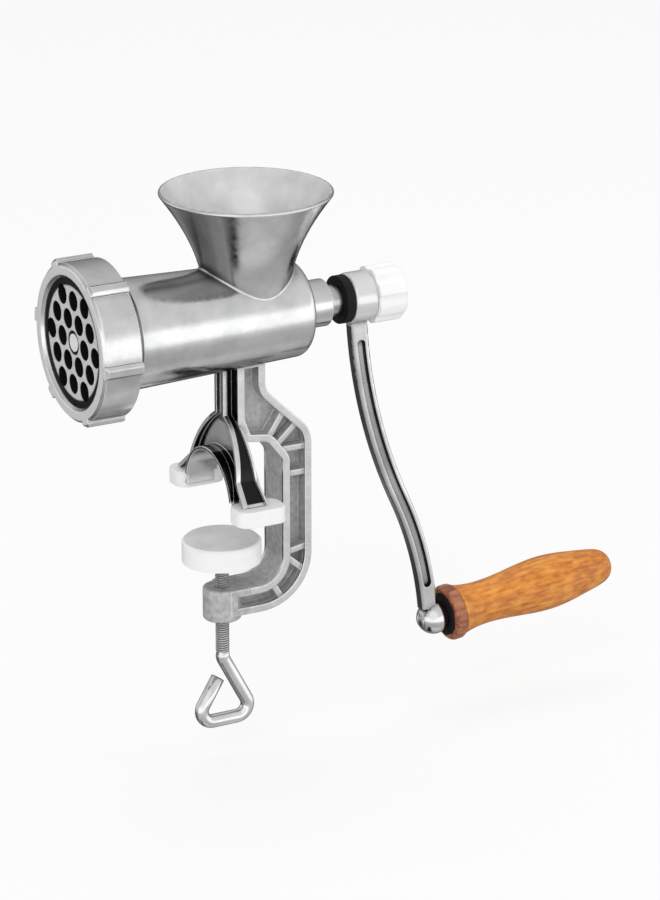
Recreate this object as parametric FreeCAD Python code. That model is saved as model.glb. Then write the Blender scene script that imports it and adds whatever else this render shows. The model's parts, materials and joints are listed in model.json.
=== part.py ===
import FreeCAD, Part
import math
import os

V = FreeCAD.Vector

# All sizes in mm. X runs along the barrel from the outlet to the crank, Z is up,
# the table top is z = 0 and the clamp screw stands on x = y = 0.
axis_height = 78.0

# clearances and fits
running_fit = 0.05
thread_fit = 0.08
loose_fit = 0.25
face_gap = 0.05
worm_gap = 0.6

# how far a cutter runs past its piece, and how near an edge lies to be picked
overcut = 1.0
edge_slack = 0.01

# ring nut and plate
ring_front = -66.4
ring_length = 16.4
ring_radius = 32.0
ring_opening = 26.2
ring_lip = 1.7
ring_chamfer = 1.2
lug_count = 6
lug_turn = 36.0
lug_width = 5.2
lug_height = 1.9
plate_radius = 27.0
plate_thickness = 5.2
plate_hole = 4.1
plate_pitch = 10.0
plate_rows = 2
plate_turn = 2.0
plate_countersink = 1.5
key_radius = 1.4
key_reach = 1.7

# head and barrel
head_wall = 1.75
plate_proud = 1.4
head_land = 0.5
head_slope = 7.9
recess_slope = 4.65
barrel_front_radius = 22.6
barrel_rear_radius = 20.0
barrel_rear = 35.0
barrel_wall = 3.2
barrel_rear_wall = 6.0
barrel_round = 4.0
neck_radius = 9.8
neck_end = 47.0
neck_round = 2.0

# hopper: a trumpet about a vertical line
hopper_x = 12.4
hopper_rim_radius = 36.0
hopper_rim_z = 130.0
hopper_throat_radius = 17.5
hopper_throat_z = 86.0
hopper_flare = 38.0
hopper_arm = 16.0
hopper_wall = 2.4
hopper_blend = 0.8

# shaft, worm and knife
journal_radius = 6.5
bush_wall = 1.3
core_shaft_radius = 5.2
knife_square = 8.0
stud_radius = 3.6
stud_recess = 0.1
tang_square = 9.0
worm_core_front = 7.6
worm_core_rear = 9.6
worm_root = 7.0
worm_tip = 3.4
worm_lead_in = 3.0
worm_flights = ("worm_flight_front", "worm_flight_middle", "worm_flight_rear")
thrust_thickness = 1.4
thrust_radius = 11.0
knife_thickness = 6.4
knife_hub = 8.2
knife_reach = 25.0
knife_width = 8.5
knife_tip_width = 6.0
knife_relief = 3.2
knife_arms = 4
hub_washer_radius = 10.0
hub_washer_thickness = 4.0

# crank
hub_radius = 10.5
hub_front = 57.6
hub_length = 10.4
hub_round = 1.2
tang_short = 1.0
arm_sink = 2.5
arm_top_x = 62.8
arm_bend_drop = 92.0
arm_end_drop = 143.0
arm_lean_top = 3.0
arm_lean_mid = 25.0
arm_lean_end = 5.5
arm_width_top = 7.8
arm_width_end = 7.4
arm_thickness = 5.6
arm_round = 1.2
flute_width = 3.6
flute_depth = 1.5
flute_margin = 11.5
ball_radius = 7.2
ball_drop = 5.6
ball_offset = 2.4
ball_seat = 4.6
ball_head_seat = 6.3

# thumb knob
knob_radius = 11.8
knob_length = 13.0
knob_flutes = 8
knob_flute_radius = 4.2
knob_flute_depth = 1.1
knob_round = 1.4
thumb_screw_radius = 3.0
thumb_screw_grip = 9.0
thumb_screw_reach = 13.0

# grip
grip_washer_radius = 9.2
grip_washer_thickness = 0.8
grip_collar_radius = 12.0
grip_collar_length = 5.4
grip_collar_band = 2.2
grip_length = 77.1
grip_start_radius = 11.2
grip_start_lean = 20.0
grip_neck_radius = 9.3
grip_neck_share = 0.203
grip_swell_radius = 11.7
grip_swell_share = 0.577
grip_taper_radius = 8.7
grip_taper_share = 0.867
grip_screw_radius = 2.6
grip_screw_head = 3.4
grip_screw_head_height = 1.2
grip_screw_share = 0.6

# stem and legs
stem_half = 3.9
stem_front = -0.6
stem_back = 4.65
leg_knee_z = 34.0
leg_front_foot = -6.0
leg_back_foot = 6.8
leg_shoulder_z = 38.0
leg_shoulder_y = 15.0
leg_shoulder_mid_z = 28.3
ankle_y = 21.0
ankle_z = 15.0
toe_y = 29.5
toe_z = 7.6
arch_top = 22.5
arch_half = 19.5
arch_rim = 1.4
arch_front = -6.2
arch_back = 8.0
leg_rim = 1.5
leg_recess = 2.0
leg_recess_foot = 3.2
leg_web_back = 0.6
groove_front = 1.8
groove_rim = 0.9
groove_depth = 1.2
foot_length = 14.4
foot_width = 9.8
foot_height = 3.4
foot_centre_x = 2.6
foot_centre_y = 27.6
foot_round = 3.0
pad_under = 2.0
pad_lip = 1.2
pad_wall_x = 3.6
pad_wall_y = 2.0
pad_round = 5.0
pad_edge_round = 0.9

# clamp frame
flange_width = 17.0
flange_thickness = 3.0
web_thickness = 5.0
rib_thickness = 2.4
rib_inset = 1.0
spine_inner = 24.3
spine_outer = 37.3
gusset_back = 16.2
gusset_shoulder_z = 47.9
spine_shoulder_z = 27.6
ceiling_stem_z = 36.0
ceiling_knee_x = 7.1
ceiling_knee_z = 26.9
ceiling_bend_x = 17.3
ceiling_bend_z = 25.5
spine_top_z = 16.5
arm_upper_z = -37.0
arm_lower_z = -48.2
gusset_round = 8.0
shoulder_round = 12.0
heel_round = 23.0
throat_round = 10.8
ceiling_round = 4.0
gusset_rib_angle = 56.0
shoulder_rib_x = 20.8
shoulder_rib_z = 22.0
shoulder_rib_angle = 42.0
mark_panel_top = 20.5
mark_panel_bottom = 9.5
spine_foot_z = -25.0
spine_foot_angle = 10.0
heel_rib_angle = 41.0
arm_rib_x = 19.5
arm_rib_angle = 59.0
boss_radius = 8.0
boss_top = -37.0
boss_bottom = -51.0
boss_round = 1.2

# clamp screw and pad
screw_radius = 2.9
jaw_gap = 16.0
pad_radius = 16.4
pad_height = 9.4
pad_bevel = 0.9
facing_radius = 15.2
facing_thickness = 1.4
facing_proud = 0.3
disc_radius = 13.0
disc_thickness = 3.0
disc_lip = 1.0
disc_lip_reach = 0.9
rivet_neck = 2.2
rivet_radius = 3.8
rivet_height = 1.2
rivet_room = 0.4
handle_top = -69.0
handle_bottom = -96.5
handle_right = 14.6
handle_left = -13.8
handle_tip_x = -2.4
handle_tip_z = -77.6
handle_bend = 5.0

plate_front = ring_front + ring_lip
plate_back = plate_front + plate_thickness
head_front = plate_front + plate_proud
ring_back = ring_front + ring_length
recess_radius = plate_radius + loose_fit
head_radius = recess_radius + head_wall
barrel_rear_inner = barrel_rear - barrel_rear_wall
knife_front = plate_back + face_gap
knife_back = knife_front + knife_thickness
recess_back = knife_back + loose_fit
thread_back = recess_back + head_land
barrel_front = thread_back + head_slope
bore_front = recess_back + recess_slope
bore_front_radius = barrel_front_radius - barrel_wall
bore_rear_radius = barrel_rear_radius - barrel_wall + face_gap
bush_radius = journal_radius + running_fit + bush_wall
worm_front = knife_back + face_gap
worm_back = barrel_rear_inner - thrust_thickness - 2 * face_gap
worm_pitch = (worm_back - worm_front - 2 * worm_lead_in) / len(worm_flights)
hub_back = hub_front + hub_length
arm_top_z = axis_height - hub_radius + arm_sink
arm_bend_z = axis_height - arm_bend_drop
arm_end_z = axis_height - arm_end_drop
tang_end = hub_back - tang_short
half_flange = flange_width / 2
pad_top = -jaw_gap
pad_bottom = pad_top - pad_height
disc_bottom = pad_bottom + disc_lip
disc_top = disc_bottom + disc_thickness
rivet_top = disc_top + face_gap + rivet_height
frame_top = axis_height - bore_rear_radius
foot_top = pad_under + foot_height
pad_cap_top = foot_top + pad_lip
arch_rise = arch_top - pad_under
arch_radius = (arch_half ** 2 + arch_rise ** 2) / (2 * arch_rise)


def cylinder_x(x0, x1, radius):
    return Part.makeCylinder(radius, x1 - x0, V(x0, 0, axis_height), V(1, 0, 0))


def cylinder_z(z0, z1, radius):
    return Part.makeCylinder(radius, z1 - z0, V(0, 0, z0))


def box(x0, x1, y0, y1, z0, z1):
    return Part.makeBox(x1 - x0, y1 - y0, z1 - z0, V(x0, y0, z0))


def lathe_x(points):
    wire = Part.makePolygon([V(x, 0, axis_height + r) for x, r in points + points[:1]])
    return Part.Face(wire).revolve(V(0, 0, axis_height), V(1, 0, 0), 360)


def square_x(x0, x1, across, corner):
    half = across / 2
    bar = box(x0, x1, -half, half, axis_height - half, axis_height + half)
    return bar.common(cylinder_x(x0, x1, corner))


def in_xz(u, w):
    return V(u, 0, w)


def rounded_face(corners, place):
    # corners are (u, w, radius); each corner becomes an arc of its radius
    cuts = []
    for i, (u, w, radius) in enumerate(corners):
        here = place(u, w)
        back = place(*corners[i - 1][:2]) - here
        ahead = place(*corners[(i + 1) % len(corners)][:2]) - here
        half = back.getAngle(ahead) / 2
        back.normalize()
        ahead.normalize()
        run = radius / math.tan(half)
        inward = back + ahead
        if radius > 0:
            inward.normalize()
        middle = here + inward * (radius / math.sin(half) - radius)
        cuts.append((here + back * run, middle, here + ahead * run, radius))
    edges = []
    for i, (start, middle, end, radius) in enumerate(cuts):
        if radius > 0:
            edges.append(Part.Arc(start, middle, end).toShape())
        edges.append(Part.makeLine(end, cuts[(i + 1) % len(cuts)][0]))
    return Part.Face(Part.Wire(edges))


def slab(face, direction, low, high):
    piece = face.copy()
    piece.translate(direction * low)
    return piece.extrude(direction * (high - low))


def round_edges(shape, radius, wanted):
    return shape.makeFillet(radius, [e for e in shape.Edges if wanted(e)])


def on_circle(x, radius):
    def test(edge):
        box_of = edge.BoundBox
        flat = box_of.XLength < edge_slack and abs(box_of.XMin - x) < edge_slack
        return flat and abs(box_of.ZLength - 2 * radius) < edge_slack

    return test


def barrel_outside():
    shape = lathe_x([
        (head_front, 0),
        (head_front, head_radius),
        (thread_back, head_radius),
        (barrel_front, barrel_front_radius),
        (barrel_rear, barrel_rear_radius),
        (barrel_rear, neck_radius),
        (neck_end, neck_radius),
        (neck_end, 0),
    ])
    shape = round_edges(shape, barrel_round, on_circle(barrel_rear, barrel_rear_radius))
    return round_edges(shape, neck_round, on_circle(barrel_rear, neck_radius))


def barrel_inside():
    chamber = lathe_x([
        (head_front - ring_lip, 0),
        (head_front - ring_lip, recess_radius),
        (recess_back, recess_radius),
        (bore_front, bore_front_radius),
        (barrel_rear_inner, bore_rear_radius),
        (barrel_rear_inner, 0),
    ])
    return chamber.fuse(cylinder_x(barrel_rear_inner - ring_lip, neck_end + ring_lip, bush_radius))


def trumpet(inset, floor_z, top_z):
    lean = math.radians(hopper_flare)
    throat = hopper_throat_radius - inset
    rim = hopper_rim_radius - inset
    curve = Part.BezierCurve()
    curve.setPoles([
        V(throat, 0, hopper_throat_z),
        V(throat, 0, hopper_throat_z + hopper_arm),
        V(rim - hopper_arm * math.sin(lean), 0, hopper_rim_z - hopper_arm * math.cos(lean)),
        V(rim, 0, hopper_rim_z),
    ])
    outline = [
        V(rim, 0, hopper_rim_z),
        V(rim, 0, top_z),
        V(0, 0, top_z),
        V(0, 0, floor_z),
        V(throat, 0, floor_z),
        V(throat, 0, hopper_throat_z),
    ]
    lines = [Part.makeLine(a, b) for a, b in zip(outline, outline[1:]) if a.distanceToPoint(b) > 0]
    solid = Part.Face(Part.Wire([curve.toShape()] + lines)).revolve(V(), V(0, 0, 1), 360)
    solid.translate(V(hopper_x, 0, 0))
    return solid


def clamp_frame():
    corners = [
        (stem_back - groove_rim, frame_top, 0),
        (gusset_back, frame_top, 0),
        (gusset_back, gusset_shoulder_z, gusset_round),
        (spine_outer, spine_shoulder_z, shoulder_round),
        (spine_outer, arm_lower_z, heel_round),
        (0, arm_lower_z, 0),
        (0, arm_upper_z, 0),
        (spine_inner, arm_upper_z, throat_round),
        (spine_inner, spine_top_z, ceiling_round),
        (ceiling_bend_x, ceiling_bend_z, ceiling_round),
        (ceiling_knee_x, ceiling_knee_z, ceiling_round),
        (stem_back - groove_rim, ceiling_stem_z, 0),
    ]
    face = rounded_face(corners, in_xz)
    across = V(0, 1, 0)
    frame = slab(face, across, -half_flange, half_flange)
    pocket_face = face.makeOffset2D(-flange_thickness)
    ribs = frame_ribs()
    for side in (-1, 1):
        low, high = sorted((side * web_thickness / 2, side * half_flange))
        frame = frame.cut(slab(pocket_face, across, low, high).cut(ribs))
    return frame


def frame_ribs():
    # cross ribs of the I-section: two at the shoulder, two round a plain panel on
    # the spine, one at the spine's foot, one in the heel and one on the lower arm
    slots = [
        (ceiling_bend_x, ceiling_bend_z, gusset_rib_angle),
        (shoulder_rib_x, shoulder_rib_z, shoulder_rib_angle),
        (spine_inner, mark_panel_top, 0),
        (spine_inner, mark_panel_bottom, 0),
        (spine_inner, spine_foot_z, spine_foot_angle),
        (spine_inner, spine_foot_z, -heel_rib_angle),
        (arm_rib_x, arm_upper_z, -arm_rib_angle),
    ]
    half = half_flange - rib_inset
    ribs = []
    for x, z, angle in slots:
        rib = box(0, 2 * heel_round, -half, half, -rib_thickness / 2, rib_thickness / 2)
        rib.rotate(V(), V(0, 1, 0), -angle)
        rib.translate(V(x, 0, z))
        ribs.append(rib)
    return ribs[0].fuse(ribs[1:])


def leg_outline():
    top = frame_top
    right = [
        Part.makeLine(V(0, stem_half, top), V(0, stem_half, leg_shoulder_z)),
        Part.Arc(V(0, stem_half, leg_shoulder_z), V(0, leg_shoulder_y, leg_shoulder_mid_z),
                 V(0, ankle_y, ankle_z)).toShape(),
        Part.makeLine(V(0, ankle_y, ankle_z), V(0, toe_y, toe_z)),
        Part.makeLine(V(0, toe_y, toe_z), V(0, toe_y, pad_under)),
        Part.makeLine(V(0, toe_y, pad_under), V(0, arch_half, pad_under)),
    ]
    left = [edge.mirror(V(), V(0, 1, 0)) for edge in right]
    arch = Part.Arc(V(0, -arch_half, pad_under), V(0, 0, arch_top), V(0, arch_half, pad_under)).toShape()
    roof = Part.makeLine(V(0, -stem_half, top), V(0, stem_half, top))
    return Part.Face(Part.Wire(Part.sortEdges(right + left + [arch, roof])[0]))


def leg_wedge(front_top, front_foot, back):
    # side view of the stem: an even bar under the barrel that widens from the knee to the
    # feet, with the front face set back by front_top to front_foot and the back face by back
    wire = Part.makePolygon([
        V(stem_front + front_top, 0, frame_top),
        V(stem_back - back, 0, frame_top),
        V(stem_back - back, 0, leg_knee_z),
        V(leg_back_foot - back, 0, 0),
        V(leg_front_foot + front_foot, 0, 0),
        V(stem_front + front_top, 0, leg_knee_z),
        V(stem_front + front_top, 0, frame_top),
    ])
    return slab(Part.Face(wire), V(0, 1, 0), -2 * toe_y, 2 * toe_y)


def arch_tube(radius, front, back):
    # round bar along X whose underside springs from the feet as the arch does
    return Part.makeCylinder(radius, back - front, V(front, 0, arch_top - arch_radius), V(1, 0, 0))


def stem_and_legs():
    face = leg_outline()
    along = V(1, 0, 0)
    reach = 2 * leg_back_foot
    legs = slab(face, along, -reach, reach).common(leg_wedge(0, 0, 0))
    panel = slab(face.makeOffset2D(-leg_rim), along, -reach, reach)
    legs = legs.cut(panel.cut(leg_wedge(leg_recess, leg_recess_foot, leg_web_back)))
    legs = legs.cut(leg_groove(face))
    flange = arch_tube(arch_radius + arch_rim, arch_front, arch_back)
    flange = flange.cut(arch_tube(arch_radius, arch_front - overcut, arch_back + overcut))
    flange = flange.common(box(arch_front, arch_back, -toe_y, toe_y, pad_cap_top, frame_top))
    feet = [flange]
    for side in (-1, 1):
        foot = foot_block(foot_length, foot_width, foot_round, side)
        feet.append(slab(foot, V(0, 0, 1), pad_under, foot_top))
    return legs.fuse(feet)


def leg_groove(face):
    # channel along the outer edge of the stem and both legs, down to the foot caps
    along = V(1, 0, 0)
    reach = 2 * leg_back_foot
    band = slab(face.cut(face.makeOffset2D(-groove_depth)), along, -reach, reach)
    above = box(-reach, reach, -2 * toe_y, 2 * toe_y, pad_cap_top, frame_top)
    band = band.cut(arch_tube(arch_radius + leg_rim, -reach, reach)).common(above)
    return band.common(leg_wedge(groove_front, groove_front, groove_rim))


def foot_block(length, width, radius, side):
    half_x = length / 2
    half_y = width / 2
    middle = side * foot_centre_y
    corners = [
        (foot_centre_x - half_x, middle - half_y, radius),
        (foot_centre_x + half_x, middle - half_y, radius),
        (foot_centre_x + half_x, middle + half_y, radius),
        (foot_centre_x - half_x, middle + half_y, radius),
    ]
    return rounded_face(corners, lambda u, w: V(u, w, 0))


def body_casting():
    boss = cylinder_z(boss_bottom, boss_top, boss_radius)
    boss = round_edges(boss, boss_round, lambda e: e.BoundBox.ZLength < edge_slack)
    shell = barrel_outside().fuse(trumpet(0, axis_height, hopper_rim_z)).removeSplitter()
    shell = round_edges(shell, hopper_blend, is_hopper_seam)
    body = shell.fuse([clamp_frame(), stem_and_legs(), boss])
    body = body.cut(barrel_inside())
    body = body.cut(trumpet(hopper_wall, axis_height, hopper_rim_z + hopper_wall))
    body = body.cut(cylinder_z(boss_bottom - overcut, boss_top + overcut, screw_radius + running_fit))
    body = body.cut(key_hole()).removeSplitter()
    return round_edges(body, hopper_wall / 3, lambda e: e.BoundBox.ZMin > hopper_rim_z - edge_slack)


def is_hopper_seam(edge):
    box_of = edge.BoundBox
    over = box_of.ZMin > axis_height and box_of.ZMax < hopper_rim_z - edge_slack
    return over and box_of.XMin > hopper_x - hopper_rim_radius and box_of.XLength > hopper_throat_radius


def key_hole():
    middle = (head_front + plate_back) / 2
    return Part.makeCylinder(key_radius, head_radius, V(middle, 0, axis_height), V(0, 0, -1))


def plate_key():
    middle = (head_front + plate_back) / 2
    outer = head_radius - thread_fit
    inner = recess_radius - key_reach
    start = V(middle, 0, axis_height - inner)
    return Part.makeCylinder(key_radius, outer - inner, start, V(0, 0, -1))


def rear_bush():
    sleeve = cylinder_x(barrel_rear_inner, neck_end, bush_radius)
    return sleeve.cut(cylinder_x(barrel_rear_inner, neck_end, journal_radius + running_fit))


def foot_pad(side, legs):
    block = foot_block(foot_length + 2 * pad_wall_x, foot_width + 2 * pad_wall_y, pad_round, side)
    cap = slab(block, V(0, 0, 1), 0, pad_cap_top)
    cap = round_edges(cap, pad_edge_round, lambda e: e.BoundBox.ZMin > pad_cap_top - edge_slack)
    return cap.cut(legs)


def ring_nut():
    shell = lathe_x([
        (ring_front, ring_opening + ring_chamfer),
        (ring_front, ring_radius - ring_chamfer),
        (ring_front + ring_chamfer, ring_radius),
        (ring_back, ring_radius),
        (ring_back, head_radius + thread_fit),
        (plate_front, head_radius + thread_fit),
        (plate_front, ring_opening),
        (ring_front + ring_chamfer, ring_opening),
    ])
    lugs = []
    for i in range(lug_count):
        base = axis_height + ring_radius - head_wall
        lug = box(ring_front, ring_back, -lug_width / 2, lug_width / 2, base,
                  axis_height + ring_radius + lug_height)
        lug = lug.makeChamfer(ring_chamfer, [e for e in lug.Edges if on_lug_crest(e)])
        lug.rotate(V(0, 0, axis_height), V(1, 0, 0), lug_turn + i * 360 / lug_count)
        lugs.append(lug)
    return shell.fuse(lugs)


def on_lug_crest(edge):
    top = axis_height + ring_radius + lug_height
    box_of = edge.BoundBox
    return box_of.ZMin > top - edge_slack and box_of.XMin < ring_front + edge_slack


def grinding_plate():
    plate = cylinder_x(plate_front, plate_back, plate_radius)
    holes = []
    row = math.sqrt(3) / 2
    for i in range(-plate_rows, plate_rows + 1):
        for j in range(-plate_rows, plate_rows + 1):
            if abs(i + j) > plate_rows or (i == 0 and j == 0):
                continue
            hole = cylinder_x(plate_front - overcut, plate_back + overcut, plate_hole)
            hole.translate(V(0, plate_pitch * (i + j / 2), plate_pitch * row * j))
            hole.rotate(V(0, 0, axis_height), V(1, 0, 0), plate_turn)
            holes.append(hole)
    middle = stud_radius + running_fit
    holes.append(lathe_x([
        (plate_front - overcut, 0),
        (plate_front - overcut, middle + plate_countersink + overcut),
        (plate_front + plate_countersink, middle),
        (plate_back + overcut, middle),
        (plate_back + overcut, 0),
    ]))
    notch = key_radius + loose_fit
    depth = plate_radius - (recess_radius - key_reach) + loose_fit
    low = axis_height - plate_radius
    holes.append(box(plate_front - overcut, plate_back + overcut, -notch, notch,
                     low - overcut, low + depth))
    return plate.cut(holes)


def knife():
    hub = cylinder_x(knife_front, knife_back, knife_hub)
    blades = []
    for i in range(knife_arms):
        half = knife_width / 2
        tip = knife_tip_width / 2
        front = Part.makePolygon([
            V(knife_front, -half, axis_height),
            V(knife_front, -tip, axis_height + knife_reach),
            V(knife_front, tip, axis_height + knife_reach),
            V(knife_front, half, axis_height),
            V(knife_front, -half, axis_height),
        ])
        back = Part.makePolygon([
            V(knife_back, -half + knife_relief, axis_height),
            V(knife_back, -tip + knife_relief, axis_height + knife_reach),
            V(knife_back, tip, axis_height + knife_reach),
            V(knife_back, half, axis_height),
            V(knife_back, -half + knife_relief, axis_height),
        ])
        blade = Part.makeLoft([front, back], True, True)
        blade.rotate(V(0, 0, axis_height), V(1, 0, 0), i * 360 / knife_arms)
        blades.append(blade)
    body = hub.fuse(blades)
    across = knife_square + 2 * running_fit
    corner = core_shaft_radius + running_fit
    return body.cut(square_x(knife_front - overcut, knife_back + overcut, across, corner))


def worm_cone():
    return lathe_x([
        (worm_front, 0),
        (worm_front, worm_core_front),
        (worm_back, worm_core_rear),
        (worm_back, 0),
    ])


def worm_core():
    return worm_cone().cut(cylinder_x(worm_front - overcut, worm_back + overcut, core_shaft_radius))


def worm_reach(x):
    slope = (bore_rear_radius - bore_front_radius) / (barrel_rear_inner - bore_front)
    return bore_front_radius + slope * (x - bore_front) - worm_gap


def worm_flight(turn):
    # one turn of the helical flight, trimmed to the bore outside and to the core inside
    root = core_shaft_radius
    outside = worm_reach(worm_front) + worm_root
    helix = Part.makeHelix(worm_pitch, worm_pitch, root, 0, True)
    thread = Part.makePolygon([
        V(root, 0, -worm_root / 2),
        V(outside, 0, -worm_tip / 2),
        V(outside, 0, worm_tip / 2),
        V(root, 0, worm_root / 2),
        V(root, 0, -worm_root / 2),
    ])
    flight = Part.Wire(helix).makePipeShell([thread], True, True)
    flight.rotate(V(), V(0, 1, 0), 90)
    flight.translate(V(worm_front + worm_lead_in + turn * worm_pitch, 0, axis_height))
    envelope = lathe_x([
        (worm_front, 0),
        (worm_front, worm_reach(bore_front)),
        (bore_front, worm_reach(bore_front)),
        (worm_back, worm_reach(worm_back)),
        (worm_back, 0),
    ])
    return flight.common(envelope).cut(worm_cone())


def worm_shaft():
    stud = cylinder_x(plate_front + stud_recess, knife_front, stud_radius)
    square = square_x(knife_front, worm_front, knife_square, core_shaft_radius)
    core = cylinder_x(worm_front, worm_back, core_shaft_radius)
    journal = cylinder_x(worm_back, hub_front, journal_radius)
    tang = square_x(hub_front, tang_end, tang_square, journal_radius)
    shaft = stud.fuse([square, core, journal, tang])
    bottom = tang_end - thumb_screw_reach - tang_short
    return shaft.cut(cylinder_x(bottom, tang_end + overcut, thumb_screw_radius + running_fit))


def thrust_washer():
    start = worm_back + face_gap
    washer = cylinder_x(start, start + thrust_thickness, thrust_radius)
    return washer.cut(cylinder_x(worm_back, barrel_rear, journal_radius + running_fit))


def hub_washer():
    start = hub_front - hub_washer_thickness - face_gap
    washer = cylinder_x(start, hub_front - face_gap, hub_washer_radius)
    return washer.cut(cylinder_x(start - overcut, hub_front + overcut, journal_radius + running_fit))


def arm_line(share):
    # centre line of the arm: two tangent arcs whose lean from the vertical grows
    # to the middle one and falls back to that of the end; share runs from 0 to 2
    top = math.radians(arm_lean_top)
    mid = math.radians(arm_lean_mid)
    end = math.radians(arm_lean_end)
    upper = (arm_top_z - arm_bend_z) / (math.sin(mid) - math.sin(top))
    lower = (arm_bend_z - arm_end_z) / (math.sin(mid) - math.sin(end))
    bend_x = arm_top_x + upper * (math.cos(top) - math.cos(mid))
    if share <= 1:
        now = top + (mid - top) * share
        x = arm_top_x + upper * (math.cos(top) - math.cos(now))
        z = arm_top_z - upper * (math.sin(now) - math.sin(top))
    else:
        now = mid + (end - mid) * (share - 1)
        x = bend_x + lower * (math.cos(now) - math.cos(mid))
        z = arm_bend_z - lower * (math.sin(mid) - math.sin(now))
    return V(x, 0, z), V(math.cos(now), 0, math.sin(now))


def arm_edge(side, width_top, width_end, start, end):
    shares = [start, (start + 1) / 2, 1, (1 + end) / 2, end]
    points = []
    for share in shares:
        middle, across = arm_line(share)
        width = width_top + (width_end - width_top) * share / 2
        points.append(middle + across * (side * width / 2))
    upper = Part.Arc(points[0], points[1], points[2]).toShape()
    lower = Part.Arc(points[2], points[3], points[4]).toShape()
    return [upper, lower], points[0], points[4]


def arm_strip(width_top, width_end, start, end):
    left, left_top, left_end = arm_edge(-1, width_top, width_end, start, end)
    right, right_top, right_end = arm_edge(1, width_top, width_end, start, end)
    caps = [Part.makeLine(left_top, right_top), Part.makeLine(left_end, right_end)]
    return Part.Face(Part.Wire(Part.sortEdges(left + right + caps)[0]))


def ball_centre():
    end, across = arm_line(2)
    lean = math.radians(arm_lean_end)
    return end + V(math.sin(lean), 0, -math.cos(lean)) * ball_drop + across * ball_offset


def is_long_edge(edge):
    return edge.BoundBox.YLength < edge_slack and edge.Length > 2 * arm_width_top


def crank_arm():
    across = V(0, 1, 0)
    half = arm_thickness / 2
    face = arm_strip(arm_width_top, arm_width_end, 0, 2)
    arm = slab(face, across, -half, half)
    arm = round_edges(arm, arm_round, is_long_edge)
    start = flute_margin / (arm_top_z - arm_bend_z)
    end = 2 - flute_margin / (arm_bend_z - arm_end_z)
    flute = arm_strip(flute_width, flute_width, start, end)
    for side in (-1, 1):
        low, high = sorted((side * (half - flute_depth), side * (half + overcut)))
        tool = slab(flute, across, low, high)
        ends = []
        for share in (start, end):
            middle, across_arm = arm_line(share)
            ends.append(Part.makeCylinder(flute_width / 2, high - low, middle + across * low, across))
        arm = arm.cut(tool.fuse(ends))
    hub = cylinder_x(hub_front, hub_back, hub_radius)
    hub = round_edges(hub, hub_round, lambda e: e.BoundBox.XLength < edge_slack)
    ball = Part.makeSphere(ball_radius, ball_centre())
    body = hub.fuse([arm, ball])
    across_tang = tang_square + 2 * running_fit
    corner = journal_radius + running_fit
    body = body.cut(square_x(hub_front - overcut, hub_back + overcut, across_tang, corner))
    bore = along_grip(-2 * ball_radius, 2 * ball_radius, grip_screw_radius + running_fit)
    seat = box(ball_seat, 2 * ball_radius, -ball_radius, ball_radius, -ball_radius, ball_radius)
    head = box(-2 * ball_radius, -ball_head_seat, -ball_radius, ball_radius, -ball_radius, ball_radius)
    return body.cut([on_grip(bore), on_grip(seat), on_grip(head)])


def along_grip(x0, x1, radius):
    return Part.makeCylinder(radius, x1 - x0, V(x0, 0, 0), V(1, 0, 0))


def on_grip(shape):
    # from a local frame whose X is the grip's axis and whose origin is the ball
    placed = shape.copy()
    placed.rotate(V(), V(0, 1, 0), -arm_lean_end)
    placed.translate(ball_centre())
    return placed


def collar_start():
    return ball_seat + face_gap + grip_washer_thickness


def grip_washer():
    washer = along_grip(ball_seat + face_gap, collar_start(), grip_washer_radius)
    return on_grip(washer.cut(along_grip(0, collar_start() + overcut, grip_screw_radius)))


def grip_collar():
    end = collar_start() + grip_collar_length
    collar = along_grip(collar_start(), end, grip_collar_radius)
    rounding = (grip_collar_length - grip_collar_band) / 2
    collar = round_edges(collar, rounding, lambda e: e.BoundBox.XLength < edge_slack)
    return on_grip(collar.cut(along_grip(0, end + overcut, grip_screw_radius)))


def wooden_grip():
    start = collar_start() + grip_collar_length
    end = start + grip_length
    curve = Part.BSplineCurve()
    stations = [
        (0, grip_start_radius),
        (grip_neck_share, grip_neck_radius),
        (grip_swell_share, grip_swell_radius),
        (grip_taper_share, grip_taper_radius),
        (1, 0),
    ]
    points = [V(start + grip_length * share, 0, radius) for share, radius in stations]
    lean = math.radians(grip_start_lean)
    leave = V(math.cos(lean), 0, -math.sin(lean))
    curve.interpolate(points, InitialTangent=leave, FinalTangent=V(0, 0, -1))
    lines = [
        Part.makeLine(V(start, 0, 0), V(start, 0, grip_start_radius)),
        Part.makeLine(V(start, 0, 0), V(end, 0, 0)),
    ]
    wood = Part.Face(Part.Wire(Part.sortEdges([curve.toShape()] + lines)[0]))
    wood = wood.revolve(V(), V(1, 0, 0), 360)
    depth = start + grip_length * grip_screw_share
    return on_grip(wood.cut(along_grip(0, depth, grip_screw_radius)))


def grip_screw():
    end = collar_start() + grip_collar_length + grip_length * grip_screw_share
    back = -ball_head_seat - face_gap
    top = back - grip_screw_head_height
    shank = along_grip(back, end, grip_screw_radius)
    dome = (grip_screw_head ** 2 + grip_screw_head_height ** 2) / (2 * grip_screw_head_height)
    head = Part.makeSphere(dome, V(top + dome, 0, 0))
    return on_grip(shank.fuse(head.common(along_grip(top, back, 2 * grip_screw_head))))


def thumb_knob():
    start = hub_back + face_gap
    knob = cylinder_x(start, start + knob_length, knob_radius)
    knob = round_edges(knob, knob_round, on_circle(start + knob_length, knob_radius))
    for i in range(knob_flutes):
        offset = knob_radius + knob_flute_radius - knob_flute_depth
        flute = cylinder_x(start - overcut, start + knob_length + overcut, knob_flute_radius)
        flute.translate(V(0, 0, offset))
        flute.rotate(V(0, 0, axis_height), V(1, 0, 0), i * 360 / knob_flutes)
        knob = knob.cut(flute)
    return knob.cut(cylinder_x(start - overcut, start + thumb_screw_grip, thumb_screw_radius))


def thumb_screw():
    start = hub_back + face_gap
    return cylinder_x(tang_end - thumb_screw_reach, start + thumb_screw_grip, thumb_screw_radius)


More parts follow.
